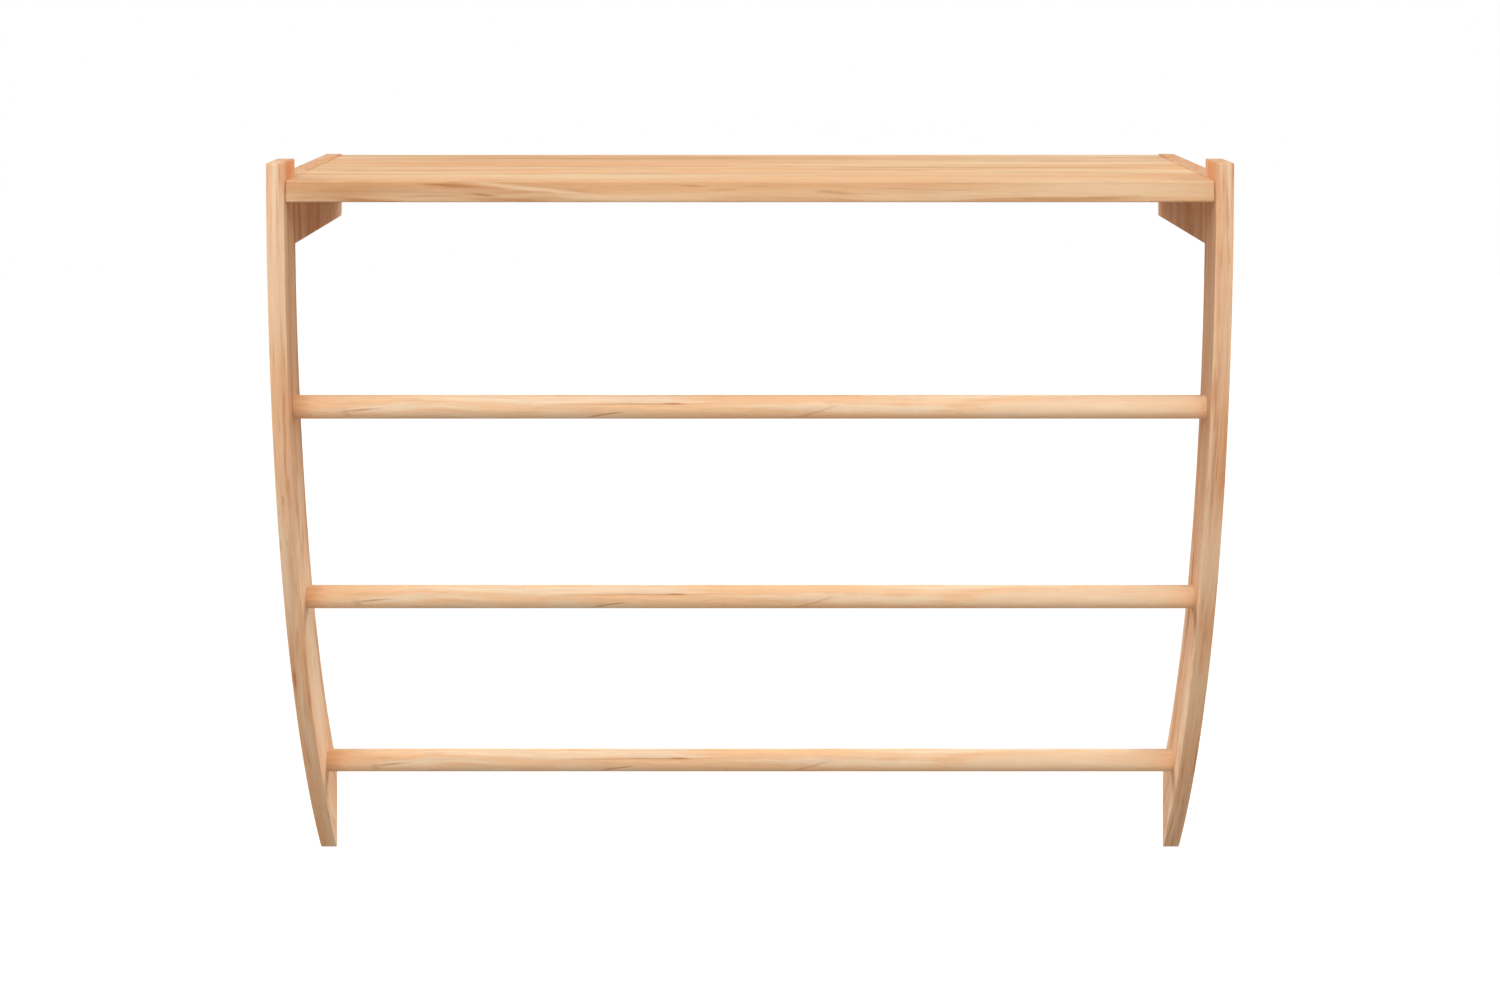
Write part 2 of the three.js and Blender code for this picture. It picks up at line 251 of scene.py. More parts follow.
def straight(value, low, high, to_low, to_high):
    return ramp(value, low, high, to_low, to_high, "LINEAR")


def shaded(shade, mask, least):
    """A shade that falls to its least share where a mask is one."""
    return times(shade, straight(mask, 0.0, 1.0, 1.0, least))


def chance(value):
    return add(value.id_data, "ShaderNodeTexWhiteNoise", {"W": value}, noise_dimensions="1D")["Value"]


def noise(place, cells, detail=2.0, rough=0.5, slip=None):
    """Noise with so many cells to a metre each way, slipped aside to differ from its neighbours."""
    if slip:
        place = vectors("ADD", place, slip)
    place = vectors("MULTIPLY", place, cells)
    inputs = {"Vector": place, "Scale": 1.0, "Detail": detail, "Roughness": rough}
    return add(place.id_data, "ShaderNodeTexNoise", inputs)


def mixed(factor, low, high):
    return add(factor.id_data, "ShaderNodeMix", {0: factor, 6: low, 7: high}, data_type="RGBA")[2]


def wood_grain_group():
    """Growth rings round a wandering pith, laid along X, so that figure and end grain agree."""
    tree, given, result = new_group("wood grain", "ShaderNodeTree", {
        "Vector": {"Place": None, "Pith": (0, 0.04, -0.03)},
        "Float": {"Stave Width": 1.0, "Ring Width": 0.004, "Wander": 0.01, "Figure": 0.6, "Flecks": 0.5,
                  "Seed": 0.0, "End Grain": 0.0},
        "Color": {"Early Wood": white, "Late Wood": white, "Blush": white},
    }, {"Color": "Color", "Roughness": "Float", "Height": "Float"})
    width, end_grain = given["Stave Width"], given["End Grain"]
    log_length = 7.0
    pith_near, pith_far = 0.75, 1.25
    staves = maths("ADD", maths("DIVIDE", parts(given["Place"])["Y"], width), 0.5)
    stave = maths("FLOOR", staves)
    lot = chance(maths("ADD", stave, given["Seed"]))
    stave_middle = times(stave, width)
    stave_shift = point(times(lot, log_length), times(stave_middle, -1.0))
    place = vectors("ADD", given["Place"], stave_shift)
    centred = parts(place)
    heart_side = plus_times(maths("PINGPONG", stave, 1.0), -2.0, 1.0)
    pith = parts(scaled(given["Pith"], straight(lot, 0.0, 1.0, pith_near, pith_far)))

    drift_cells = (2.6, 1.0, 1.0)
    ripple_cells, ripple_height = (7, 45, 45), 0.005
    drift = parts(noise(place, drift_cells, 1.5)["Color"])
    sway = times(given["Wander"], 2.0)
    pith_y = swing(drift["X"], 0.5, sway, pith["Y"])
    pith_z = swing(drift["Y"], 0.5, sway, times(pith["Z"], heart_side))
    across = minus(centred["Y"], pith_y)
    through = minus(centred["Z"], pith_z)
    square = plus_times(across, across, times(through, through))
    radius = swing(noise(place, ripple_cells, 3.0)["Fac"], 0.5, ripple_height, maths("SQRT", square))
    rings = maths("DIVIDE", radius, given["Ring Width"])

    spring, autumn, faintest_year, late_sharpness = 0.05, 0.9, 0.1, 1.5
    waves_per_ring = 0.31
    season = maths("FRACT", rings)
    year = chance(maths("ADD", maths("FLOOR", rings), given["Seed"]))
    late = maths("POWER", ramp(season, spring, autumn), late_sharpness)
    late = times(late, ramp(season, autumn, 1.0, 1.0, 0.0))
    late = times(late, ramp(year, 0.0, 1.0, faintest_year, 1.0))
    long_wave = plus_times(rings, waves_per_ring, given["Seed"])
    waves = {"W": long_wave, "Scale": 1.0, "Detail": 1.0}
    years = add(tree, "ShaderNodeTexNoise", waves, noise_dimensions="1D")["Fac"]

    stir_cells, stir_reach = (8, 12, 12), 0.018
    stir = vectors("SUBTRACT", noise(place, stir_cells, 3.0)["Color"], (0.5, 0.5, 0.5))
    flow = vectors("ADD", place, scaled(stir, stir_reach))
    layers = {
        "streak": ((11, 300, 300), 3.0, 0.6, None),
        "vein": ((9, 150, 150), 3.0, 0.5, (3.1, 0.7, 0.2)),
        "fibre": ((16, 1500, 1500), 2.0, 0.5, None),
        "patch": ((7, 90, 90), 3.0, 0.5, None),
        "mottle": ((13, 150, 150), 2.0, 0.5, (0.4, 2.3, 1.1)),
        "fleck": ((30, 480, 480), 1.0, 0.5, (0.9, 1.4, 0.6)),
        "curl": ((150, 22, 22), 1.0, 0.5, (2.1, 0.6, 3.2)),
        "band": ((1.4, 16, 16), 1.0, 0.5, (1.7, 0.3, 0.9)),
    }
    layer = {name: noise(flow, *values)["Fac"] for name, values in layers.items()}
    pore_cells = (70, 2400, 2400)
    onset = {"pore": (0.62, 0.74), "years": (0.38, 0.66), "vein": (0.52, 0.7), "fleck": (0.58, 0.72),
             "patch": (0.38, 0.6)}
    pore = ramp(noise(place, pore_cells, 1.0)["Fac"], *onset["pore"])

    weight = {"late": 0.3, "years": 0.4, "streak": 1.2, "vein": 0.6, "band": 1.9, "mottle": 1.0, "curl": 0.3}
    level = {"streak": 0.48, "band": 0.5, "mottle": 0.47, "curl": 0.5}
    end_grain_figure = 0.45
    tone = times(ramp(years, *onset["years"]), weight["years"])
    tone = plus_times(late, weight["late"], tone)
    tone = swing(layer["streak"], level["streak"], weight["streak"], tone)
    tone = plus_times(ramp(layer["vein"], *onset["vein"]), weight["vein"], tone)
    for name in ("band", "mottle", "curl"):
        tone = swing(layer[name], level[name], weight[name], tone)
    tone = plus_times(ramp(layer["fleck"], *onset["fleck"]), given["Flecks"], tone)
    tone = shaded(times(tone, given["Figure"]), end_grain, end_grain_figure)
    tone = maths("MINIMUM", maths("MAXIMUM", tone, 0.0), 1.0)
    ground = mixed(ramp(layer["patch"], *onset["patch"]), given["Early Wood"], given["Blush"])
    timber = mixed(tone, ground, given["Late Wood"])

    seam_inner, seam_outer, seam_shade = 0.00008, 0.0003, 0.86
    pore_shade, end_grain_shade = 0.88, 0.84
    pore_gloss, pore_depth = 0.1, -0.8
    fibre_dark, fibre_light = 0.955, 1.03
    lot_dark, lot_light = 0.96, 1.03
    smooth, rough = 0.62, 0.74
    from_middle = maths("ABSOLUTE", minus(maths("FRACT", staves), 0.5))
    to_seam = times(minus(0.5, from_middle), width)
    shade = ramp(to_seam, seam_inner, seam_outer, seam_shade, 1.0)
    shade = times(shade, straight(layer["fibre"], 0.25, 0.75, fibre_dark, fibre_light))
    shade = times(shade, straight(lot, 0.0, 1.0, lot_dark, lot_light))
    shade = shaded(shaded(shade, pore, pore_shade), end_grain, end_grain_shade)
    gloss = straight(layer["fibre"], 0.2, 0.8, smooth, rough)
    fill(result, {
        "Color": scaled(timber, shade),
        "Roughness": plus_times(pore, pore_gloss, gloss),
        "Height": plus_times(pore, pore_depth, layer["fibre"]),
    })
    return tree


def worn_and_highlit_edge_group():
    """Arrises that sanding and hands have left smoother than the faces, and paler: partly wear and partly a
    painted highlight along the rounded arris.
    """
    tree, given, result = new_group("worn and highlit edge", "ShaderNodeTree", {
        "Vector": {"Place": None},
        "Color": {"Color": white},
        "Float": {"Roughness": 0.5, "Facing": 0.0, "Wear And Highlight": 0.5},
    }, {"Color": "Color", "Roughness": "Float"})
    patch_cells, least_wear_and_highlight = (60, 60, 60), 0.3
    # The arris is made this much paler: partly sanding wear, partly a painted highlight along it.
    wear_and_highlight_shade, worn_gloss = 1.18, -0.1
    square = times(given["Facing"], given["Facing"])
    turn = times(times(square, minus(1.0, square)), 4.0)
    patchy = ramp(noise(given["Place"], patch_cells, 3.0)["Fac"], 0.3, 0.7, least_wear_and_highlight, 1.0)
    worn_and_highlit = times(times(turn, patchy), given["Wear And Highlight"])
    fill(result, {
        "Color": scaled(given["Color"], straight(worn_and_highlit, 0.0, 1.0, 1.0, wear_and_highlight_shade)),
        "Roughness": plus_times(worn_and_highlit, worn_gloss, given["Roughness"]),
    })
    return tree


def colour(red, green, blue):
    """A colour as seen on screen, from 0 to 255, as the linear colour that a shader takes."""
    return tuple(((part / 255 + 0.055) / 1.055) ** 2.4 for part in (red, green, blue)) + (1,)


wood_grain = wood_grain_group()
worn_and_highlit_edge = worn_and_highlit_edge_group()
quarter_turn = pi / 2
x_axis, y_axis, z_axis = (1, 0, 0), (0, 1, 0), (0, 0, 1)
along_x, along_z = (0, 0, 0), (0, quarter_turn, 0)
wood_bump, wood_bump_depth = 0.25, 0.0002
wood_gloss = 0.05


def own_place(tree, stored):
    """Where a spot is on the piece itself, or on the blank from which a turned piece was made."""
    if stored:
        return add(tree, "ShaderNodeAttribute", attribute_name=stored)["Vector"]
    return add(tree, "ShaderNodeTexCoord")["Object"]


def round_bow(place, bow):
    """Distance up the bow, distance out from it and distance across, for a place on the piece."""
    radius, centre_y, centre_z = bow
    axes = parts(place)
    out = minus(centre_y, axes["Y"])
    rise = minus(axes["Z"], centre_z)
    reach = maths("SQRT", plus_times(out, out, times(rise, rise)))
    up = times(maths("ARCTAN2", rise, out), radius)
    return point(up, minus(reach, radius), axes["X"])


def relief(tree, height, strength, depth):
    return add(tree, "ShaderNodeBump", {"Strength": strength, "Distance": depth, "Height": height})[0]


def labelled(values):
    return {label.replace("_", " "): value for label, value in values.items()}


def oiled_wood(name, lay, shift, end_axis, edge_axis, stored=None, marks=(), bow=None, narrowed=(1, 1, 1),
               **figure):
    """A wood finish: lay turns the piece's own coordinates along its log and shift picks the log's
    part; a wide board shows broader figure when its place across the log is narrowed. Marks are
    (centre, reach, strength, lean), along the grain, and pale where the strength is negative."""
    material, tree = new_material(name)
    figure = labelled(figure)
    place = own_place(tree, stored)
    if bow:
        place = round_bow(place, bow)
    turned = add(tree, "ShaderNodeMapping", {"Vector": place, "Rotation": lay})[0]
    laid = vectors("MULTIPLY", vectors("ADD", turned, shift), narrowed)
    normal = add(tree, "ShaderNodeTexCoord")["Normal"]
    facing_end, facing_edge = (measured("DOT_PRODUCT", normal, axis) for axis in (end_axis, edge_axis))
    grain = add(tree, "ShaderNodeGroup", {
        "Place": laid,
        "End Grain": ramp(maths("ABSOLUTE", facing_end), 0.6, 0.95),
        **figure,
    }, node_tree=wood_grain)
    shown_colour = grain["Color"]
    fray_cells, fading = (30, 300, 300), (0.1, 1.1)
    fray = vectors("SUBTRACT", noise(turned, fray_cells, 3.0)["Color"], (0.5, 0.5, 0.5))
    # A mark mixes late or early wood over the grain. Some side panel and rail marks are painted shade and
    # painted light, not figure.
    for centre, reach, strength, lean in marks:
        offset = vectors("SUBTRACT", turned, centre)
        sheared = point(z=times(parts(offset)["X"], -lean))
        shape = vectors("DIVIDE", vectors("ADD", offset, sheared), reach)
        far = measured("LENGTH", vectors("ADD", shape, fray))
        fleck = times(ramp(far, *fading, 1.0, 0.0), abs(strength))
        shown_colour = mixed(fleck, shown_colour, figure["Late Wood" if strength > 0 else "Early Wood"])
    # Arrises go smoother and paler: partly wear, partly a painted highlight.
    edge = add(tree, "ShaderNodeGroup", {
        "Color": shown_colour,
        "Roughness": grain["Roughness"],
        "Place": laid,
        "Facing": facing_edge,
    }, node_tree=worn_and_highlit_edge)
    coat(tree, {
        "Base Color": edge["Color"],
        "Roughness": edge["Roughness"],
        "Normal": relief(tree, grain["Height"], wood_bump, wood_bump_depth),
        "Specular IOR Level": wood_gloss,
    })
    return material


def lathe_group():
    """A profile of (radius, 0, distance) points swept round Z into one closed mesh."""
    tree, given, result = new_group("lathe", "GeometryNodeTree", {
        "Geometry": {"Profile": None},
        "Int": {"Sides": 48, "Flutes": 0},
        "Float": {"Flute Depth Share": 0.0},
    }, {"Mesh": "Geometry"})
    profile = {0: given["Profile"]}
    count = add(tree, "GeometryNodeAttributeDomainSize", profile, component="MESH")["Point Count"]
    grid = add(tree, "GeometryNodeMeshGrid", {
        "Size X": 1.0,
        "Size Y": 1.0,
        "Vertices X": maths("ADD", given["Sides"], 1.0),
        "Vertices Y": count,
    })
    position = add(tree, "GeometryNodeInputPosition")[0]
    spot = parts(position)
    angle = times(maths("ADD", spot["X"], 0.5), tau)
    row = times(maths("ADD", spot["Y"], 0.5), minus(count, 1.0))
    sample = {"Geometry": given["Profile"], "Value": position, "Index": maths("ROUND", row)}
    turned = parts(add(tree, "GeometryNodeSampleIndex", sample, data_type="FLOAT_VECTOR")["Value"])
    wave = maths("COSINE", times(angle, given["Flutes"]))
    groove = times(maths("MAXIMUM", wave, 0.0), given["Flute Depth Share"])
    radius = times(turned["X"], minus(1.0, groove))
    x, y = (times(radius, maths(way, angle)) for way in ("COSINE", "SINE"))
    swept = point(x, y, turned["Z"])
    moved = add(tree, "GeometryNodeSetPosition", {"Geometry": grid["Mesh"], "Position": swept})[0]
    closed = add(tree, "GeometryNodeMergeByDistance", {"Geometry": moved, "Distance": 1e-6})[0]
    fill(result, {"Mesh": closed})
    return tree


def set_out_group():
    """A mesh set at each place with its +Z to the place's facing, and its grain kept with it."""
    tree, given, result = new_group("set out", "GeometryNodeTree", {
        "Geometry": {"Places": None, "Mesh": None},
        "Float": {"Grain Turn": 0.0, "Grain Slip": 0.0},
        "Int": {"Seed": 1},
        "Material": {"Finish": None},
    }, {"Geometry": "Geometry"})

    def store(geometry, name, value, domain="POINT", kind="FLOAT_VECTOR"):
        inputs = {"Geometry": geometry, "Name": name, "Value": value}
        return add(tree, "GeometryNodeStoreNamedAttribute", inputs, domain=domain, data_type=kind)[0]

    def stored(name, kind="FLOAT_VECTOR"):
        return add(tree, "GeometryNodeInputNamedAttribute", {"Name": name}, data_type=kind)[0]

    local = store(given["Mesh"], "grain", add(tree, "GeometryNodeInputPosition")[0])
    facing = add(tree, "FunctionNodeAlignRotationToVector", {"Vector": stored("facing")}, axis="Z")[0]
    spots = {"Points": given["Places"], "Instance": local, "Rotation": facing}
    stood = add(tree, "GeometryNodeInstanceOnPoints", spots)[0]
    chosen = add(tree, "FunctionNodeRandomValue", {"Seed": given["Seed"]}, data_type="FLOAT")[1]
    lotted = store(stood, "lot", chosen, "INSTANCE", "FLOAT")
    whole = add(tree, "GeometryNodeRealizeInstances", {0: lotted})[0]
    lot = plus_times(stored("lot", "FLOAT"), 2.0, -1.0)
    turn = times(lot, given["Grain Turn"])
    spin = {"Vector": stored("grain"), "Angle": turn}
    grain = add(tree, "ShaderNodeVectorRotate", spin, rotation_type="Z_AXIS")[0]
    grained = store(whole, "grain", vectors("ADD", grain, times(lot, given["Grain Slip"])))
    finished = add(tree, "GeometryNodeSetMaterial", {"Geometry": grained, "Material": given["Finish"]})[0]
    fill(result, {"Geometry": finished})
    return tree


def picked(given, *labels):
    return {label: given[label] for label in labels}


def placed(tree, given, mesh, *labels):
    """A mesh handed to the set out group, with the inputs of the same names."""
    inputs = {"Mesh": mesh, **picked(given, "Places", *labels)}
    return add(tree, "GeometryNodeGroup", inputs, node_tree=set_out)[0]


def turned_work_tree():
    """Turned pieces: a profile on the lathe, set out at every place where one is needed."""
    tree, given, result = new_group("turned work", "GeometryNodeTree", {
        "Geometry": {"Places": None},
        "Object": {"Profile": None},
        "Int": {"Sides": 48, "Flutes": 0, "Seed": 1},
        "Float": {"Flute Depth Share": 0.0, "Grain Turn": 0.0, "Grain Slip": 0.0},
        "Material": {"Finish": None},
    }, {"Geometry": "Geometry"})
    profile = add(tree, "GeometryNodeObjectInfo", {"Object": given["Profile"]})["Geometry"]
    shape = picked(given, "Sides", "Flutes", "Flute Depth Share")
    blank = add(tree, "GeometryNodeGroup", {"Profile": profile, **shape}, node_tree=lathe)[0]
    fill(result, {"Geometry": placed(tree, given, blank, "Grain Turn", "Grain Slip", "Seed", "Finish")})
    return tree


lathe = lathe_group()
set_out = set_out_group()
turned_work = turned_work_tree()


def scrap(holder):
    mesh = holder.data
    bpy.data.objects.remove(holder)
    bpy.data.meshes.remove(mesh)


def as_mesh(work):
    """The finished mesh of an object, which goes away with its modifiers."""
    graph = bpy.context.evaluated_depsgraph_get()
    made = bpy.data.meshes.new_from_object(work.evaluated_get(graph), depsgraph=graph)
    scrap(work)
    return made


def made_at(places, profile, tree=turned_work, **inputs):
    """What a tree makes of a (radius, distance) profile at places of (x, y, z) and facing."""
    spots = bpy.data.meshes.new("places")
    spots.from_pydata([spot for spot, _ in places], [], [])
    facing = spots.attributes.new("facing", "FLOAT_VECTOR", "POINT")
    for value, (_, way) in zip(facing.data, places):
        value.vector = way
    line = bpy.data.meshes.new("profile")
    edges = [(i, i + 1) for i in range(len(profile) - 1)]
    line.from_pydata([(radius, 0, along) for radius, along in profile], edges, [])
    drawn = put("profile", line)
    work = put("work", spots)
    modifier = work.modifiers.new(tree.name, "NODES")
    modifier.node_group = tree
    sockets = {item.name: item.identifier for item in tree.interface.items_tree if item.in_out == "INPUT"}
    for label, value in labelled({"Profile": drawn, **inputs}).items():
        modifier[sockets[label]] = value
    made = as_mesh(work)
    scrap(drawn)
    return made


def cut_away(mesh, cutters):
    """The mesh with other closed meshes cut out of it, one after another."""
    work = put("work", mesh)
    tools = [put("cutter", cutter) for cutter in cutters]
    for tool in tools:
        modifier = work.modifiers.new("cut", "BOOLEAN")
        modifier.object = tool
        modifier.operation = "DIFFERENCE"
        modifier.solver = "EXACT"
    made = as_mesh(work)
    for tool in tools:
        scrap(tool)
    return made


def piece(name, mesh, material, sharp_angle=35, flat_faces=False):
    """The finished piece, smooth between its sharp edges, with broad flat faces kept flat."""
    for polygon in mesh.polygons:
        polygon.use_smooth = True
    mesh.set_sharp_from_angle(angle=radians(sharp_angle))
    if flat_faces:
        work = put("work", mesh)
        modifier = work.modifiers.new("flat faces", "WEIGHTED_NORMAL")
        modifier.keep_sharp = True
        modifier.weight = 100
        mesh = as_mesh(work)
    mesh.name = name
    mesh.materials.clear()
    mesh.materials.append(material)
    for polygon in mesh.polygons:
        polygon.material_index = 0
    return put(name, mesh)


def fillet(before, corner, after, radius, steps):
    to_before = (before - corner).normalized()
    to_after = (after - corner).normalized()
    half = to_before.angle(to_after) / 2
    centre = corner + (to_before + to_after).normalized() * radius / sin(half)
    start = corner + to_before * radius / tan(half) - centre
    end = corner + to_after * radius / tan(half) - centre
    sweep = start.angle_signed(end)
    return [centre + Matrix.Rotation(-sweep * i / steps, 2) @ start for i in range(steps + 1)]


def eased(outline, radius, steps=5, corner_angle=15):
    """The outline with each of its corners turned into a small fillet."""
    points = []
    for i, corner in enumerate(outline):
        before = outline[i - 1]
        after = outline[(i + 1) % len(outline)]
        if (corner - before).angle(after - corner) > radians(corner_angle):
            points += fillet(before, corner, after, radius, steps)
        else:
            points.append(corner)
    return points


def inset(outline, distance):
    """The outline, which runs anticlockwise, moved inwards by a distance."""
    points = []
    for i, corner in enumerate(outline):
        first = (corner - outline[i - 1]).normalized()
        second = (outline[(i + 1) % len(outline)] - corner).normalized()
        inward = Vector((-first.y, first.x)) + Vector((-second.y, second.x))
        points.append(corner + inward * distance / (1 + first.dot(second)))
    return points


def quarter(steps):
    """The angles of a quarter turn in so many steps."""
    return [quarter_turn * i / steps for i in range(steps + 1)]


def slab(outline, low, high, round_over, steps=4):
    """A board between two distances along X, cut to an outline of (y, z), with rounded arrises."""
    turns = quarter(steps)[::-1] if round_over else [0]
    upper = [(high - round_over * (1 - cos(turn)), round_over * (1 - sin(turn))) for turn in turns]
    lower = [(low + high - x, step) for x, step in reversed(upper)]
    shape = bmesh.new()
    loops = []
    for x, step in lower + upper:
        loops.append([shape.verts.new((x, corner.x, corner.y)) for corner in inset(outline, step)])
    for near, far in zip(loops, loops[1:]):
        for i in range(len(outline)):
            shape.faces.new((near[i - 1], near[i], far[i], far[i - 1]))
    shape.faces.new(loops[0])
    shape.faces.new(loops[-1])
    bmesh.ops.recalc_face_normals(shape, faces=shape.faces)
    made = bpy.data.meshes.new("slab")
    shape.to_mesh(made)
    shape.free()
    return made


side_thickness = 0.015
side_centre = 0.3925
rack_height = 0.658
bow_reach = 0.337
bow_centre_height = 0.668
strip_width = 0.057
arm_height = 0.0585
post_rise = 0.014
lower_stand_off = 0.030
lower_flat_height = 0.076
toe_width = 0.002
shelf_middle_height = 0.634
side_arris = 0.0011
corner_round = 0.0012
bow_step = 0.008
arm_top = rack_height - post_rise
arm_bottom = arm_top - arm_height
arm_middle = (arm_top + arm_bottom) / 2 - shelf_middle_height


def bow_through(reach, depth, height):
    run = reach - depth
    rise = bow_centre_height - height
    radius = (run ** 2 + rise ** 2) / (2 * run)
    return radius, reach - radius


def bow_points(bow, low, high):
    """Points of (y, z) along a bow, an arc that is furthest out at the bow's centre height."""
    radius, centre_depth = bow
    start, end = (asin((height - bow_centre_height) / radius) for height in (low, high))
    steps = max(1, round(abs(end - start) * radius / bow_step))
    points = []
    for i in range(steps + 1):
        angle = start + (end - start) * i / steps
        depth = centre_depth + radius * cos(angle)
        points.append(Vector((-depth, bow_centre_height + radius * sin(angle) - shelf_middle_height)))
    return points


def side_outline():
    front = bow_through(bow_reach, lower_stand_off + toe_width, 0)
    back = bow_through(bow_reach - strip_width, lower_stand_off, lower_flat_height)
    around = bow_points(front, 0, rack_height) + bow_points(back, rack_height, arm_top)
    around += [Vector((0, height - shelf_middle_height)) for height in (arm_top, arm_bottom)]
    around += bow_points(back, arm_bottom, lower_flat_height)
    around.append(Vector((-lower_stand_off, -shelf_middle_height)))
    around.reverse()
    return eased(around, corner_round)


def middle(node):
    low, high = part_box(node)
    return [(a + b) / 2 for a, b in zip(low, high)]


sides = {"left": -1, "right": 1}
rails = ("top", "middle", "low")
ends = ("front", "back")
fit = 0.00005
overrun = 0.002
outer_face = side_centre + side_thickness / 2
inner_face = side_centre - side_thickness / 2
plug_radius = 0.005
plug_length = 0.0026
screw_sink = 0.0029
joint_screw = {"length": 0.042, "tip": 0.005, "radius": 0.002, "head_radius": 0.0038, "head_height": 0.0022}
socket_depth = 0.004
rail_radius = 0.010
dowel_radius = 0.004
dowel_length = 0.030
dowel_in_side = 0.009
peg_radius = 0.003
peg_in_side = 0.020
plate_width = 0.010
plate_height = 0.046
plate_thickness = 0.002
plate_corner = 0.0015
keyhole_radius = 0.0035
keyhole_slot_radius = 0.0021
keyhole_drop = 0.005
head_pocket_radius = 0.004
head_pocket_depth = 0.007
plate_screw_rise = 0.018
plate_screw = {"length": 0.016, "tip": 0.003, "radius": 0.0015, "head_radius": 0.0027, "head_height": 0.0015}


def screw_hole(length, tip, radius, head_radius, head_height):
    """Half the outline of the hole for a countersunk screw, from its point up to its rim."""
    return [
        (0, -(length + fit)),
        (radius + fit, -(length - tip + fit)),
        (radius + fit, -(head_height + fit)),
        (head_radius + fit, -fit),
    ]


def round_hole(radius, low, high):
    return [(0, low), (radius, low), (radius, high), (0, high)]


def joint_nodes(kind, at=sides):
    """The screws or plugs of the rails and the shelf, at both side panels or at some."""
    nodes = [f"rail_{kind}_{rail}_{side}" for side in at for rail in rails]
    return nodes + [f"shelf_{kind}_{end}_{side}" for side in at for end in ends]


def joint_spots(side, kind):
    """Where the screws or plugs of a side panel stand, on its outer face, and the way they face."""
    sign = sides[side]
    return [((sign * outer_face, *middle(node)[1:]), (sign, 0, 0)) for node in joint_nodes(kind, [side])]


def screw_bores(side):
    hole = [(radius, along - screw_sink) for radius, along in screw_hole(**joint_screw)]
    hole += [(plug_radius + fit, -screw_sink), (plug_radius + fit, overrun), (0, overrun)]
    return made_at(joint_spots(side, "plug"), hole, Sides=48)


def dowel_spots(side):
    sign = sides[side]
    spots = [middle(f"shelf_dowel_{end}_{side}") for end in ends]
    return [((sign * (inner_face + dowel_in_side), y, z), (sign, 0, 0)) for _, y, z in spots]


def dowel_holes(side):
    hole = round_hole(dowel_radius + fit, -dowel_length - fit, fit)
    return made_at(dowel_spots(side), hole, Sides=48)


def plate_outline(grow=0.0):
    half_width = plate_width / 2 + grow
    half_height = plate_height / 2 + grow
    signs = ((-1, -1), (1, -1), (1, 1), (-1, 1))
    return eased([Vector((a * half_width, b * half_height)) for a, b in signs], plate_corner)


def arc(radius, start, sweep, steps, rise):
    angles = [start + sweep * i / steps for i in range(steps + 1)]
    return [Vector((radius * cos(angle), radius * sin(angle) + rise)) for angle in angles]


def keyhole_outline(round_radius, slot_radius, steps=24):
    """A round hole with a narrower slot that rises from it, run round anticlockwise."""
    lean = asin(slot_radius / round_radius)
    hole = arc(round_radius, quarter_turn + lean, tau - 2 * lean, steps, -keyhole_drop)
    return hole + arc(slot_radius, 0, pi, steps // 2, keyhole_drop)


def at_arm_end(mesh, side):
    """A slab drawn along X, stood at the end of an arm with its X towards the wall."""
    place = Matrix.Translation((sides[side] * side_centre, 0, arm_middle))
    mesh.transform(place @ Matrix.Rotation(quarter_turn, 4, "Z"))
    return mesh


def plate_screw_spots(side):
    x = sides[side] * side_centre
    return [((x, 0, arm_middle + turn * plate_screw_rise), y_axis) for turn in (1, -1)]


def plate_screw_holes(side):
    hole = screw_hole(**plate_screw) + [(plate_screw["head_radius"] + fit, overrun), (0, overrun)]
    return made_at(plate_screw_spots(side), hole, Sides=32)


side_colours = {
    "Early_Wood": colour(249, 218, 185),
    "Late_Wood": colour(206, 134, 86),
    "Blush": colour(243, 195, 152),
}


def side_mark(up, out, tall, wide, strength, inner=None):
    """A mark so far up the bow and out from it, all through the panel or only at an inner face."""
    through_both, skin_deep = 2.0, 0.004
    if inner is None:
        return (up, out, 0), (tall, wide, through_both), strength, 0.0
    return (up, out, inner), (tall, wide, skin_deep), strength, 0.0


